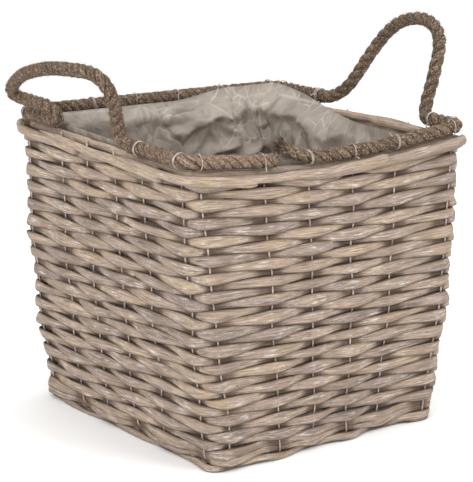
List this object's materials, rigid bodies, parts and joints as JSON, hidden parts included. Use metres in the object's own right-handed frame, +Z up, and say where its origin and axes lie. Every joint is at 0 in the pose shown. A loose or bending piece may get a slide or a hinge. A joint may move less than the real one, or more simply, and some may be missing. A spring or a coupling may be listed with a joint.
{
  "type": "log basket",
  "caption": "Square willow log basket, slightly tapered, with a rope rim, two rope handles and a clear film liner.",
  "frame": {"origin": "middle of the underside, on the floor", "axes": "+Z up, -Y the front wall, handles on the -X and +X walls"},
  "size_m": [0.5502, 0.462, 0.5491],
  "materials": {
    "willow": "split willow, grey-washed, dry and matt",
    "wire": "dull galvanised wire",
    "rope": "laid natural fibre rope, hairy and matt",
    "film": "cloudy translucent plastic film, creased"
  },
  "bodies": {
    "basket": {"base_border": "willow", "base_weave": "willow", "wire_across_1": "wire", "wire_across_2": "wire", "wire_across_3": "wire", "wire_across_4": "wire", "wire_across_5": "wire", "wire_across_6": "wire", "wire_fore_aft_1": "wire", "wire_fore_aft_2": "wire", "wire_fore_aft_3": "wire", "wire_fore_aft_4": "wire", "wire_fore_aft_5": "wire", "wire_fore_aft_6": "wire", "course_01": "willow", "course_02": "willow", "course_03": "willow", "course_04": "willow", "course_05": "willow", "course_06": "willow", "course_07": "willow", "course_08": "willow", "course_09": "willow", "course_10": "willow", "course_11": "willow", "course_12": "willow", "course_13": "willow", "course_14": "willow", "course_15": "willow", "course_16": "willow", "course_17": "willow", "course_18": "willow", "course_19": "willow", "course_20": "willow", "course_21": "willow", "course_22": "willow", "course_23": "willow", "course_24": "willow", "course_25": "willow", "course_26": "willow", "course_27": "willow", "course_28": "willow", "course_29": "willow", "course_30": "willow", "course_31": "willow", "border_outer": "willow", "border_inner": "willow", "liner": "film", "rope_ties": "wire", "rim_rope_left": "rope", "rim_rope_right": "rope", "rim_rope_back": "rope"},
    "handle_left": {"rope_handle_left": "rope"},
    "handle_right": {"rope_handle_right": "rope"}
  },
  "joints": [
    {"name": "handle_left_swing", "type": "hinge", "parent": "basket", "child": "handle_left", "pos_m": [-0.21715, 0, 0.40719], "axis": [0, -1, 0], "range_deg": [-60, 45]},
    {"name": "handle_right_swing", "type": "hinge", "parent": "basket", "child": "handle_right", "pos_m": [0.21715, 0, 0.40719], "axis": [0, 1, 0], "range_deg": [-52, 52]}
  ]
}
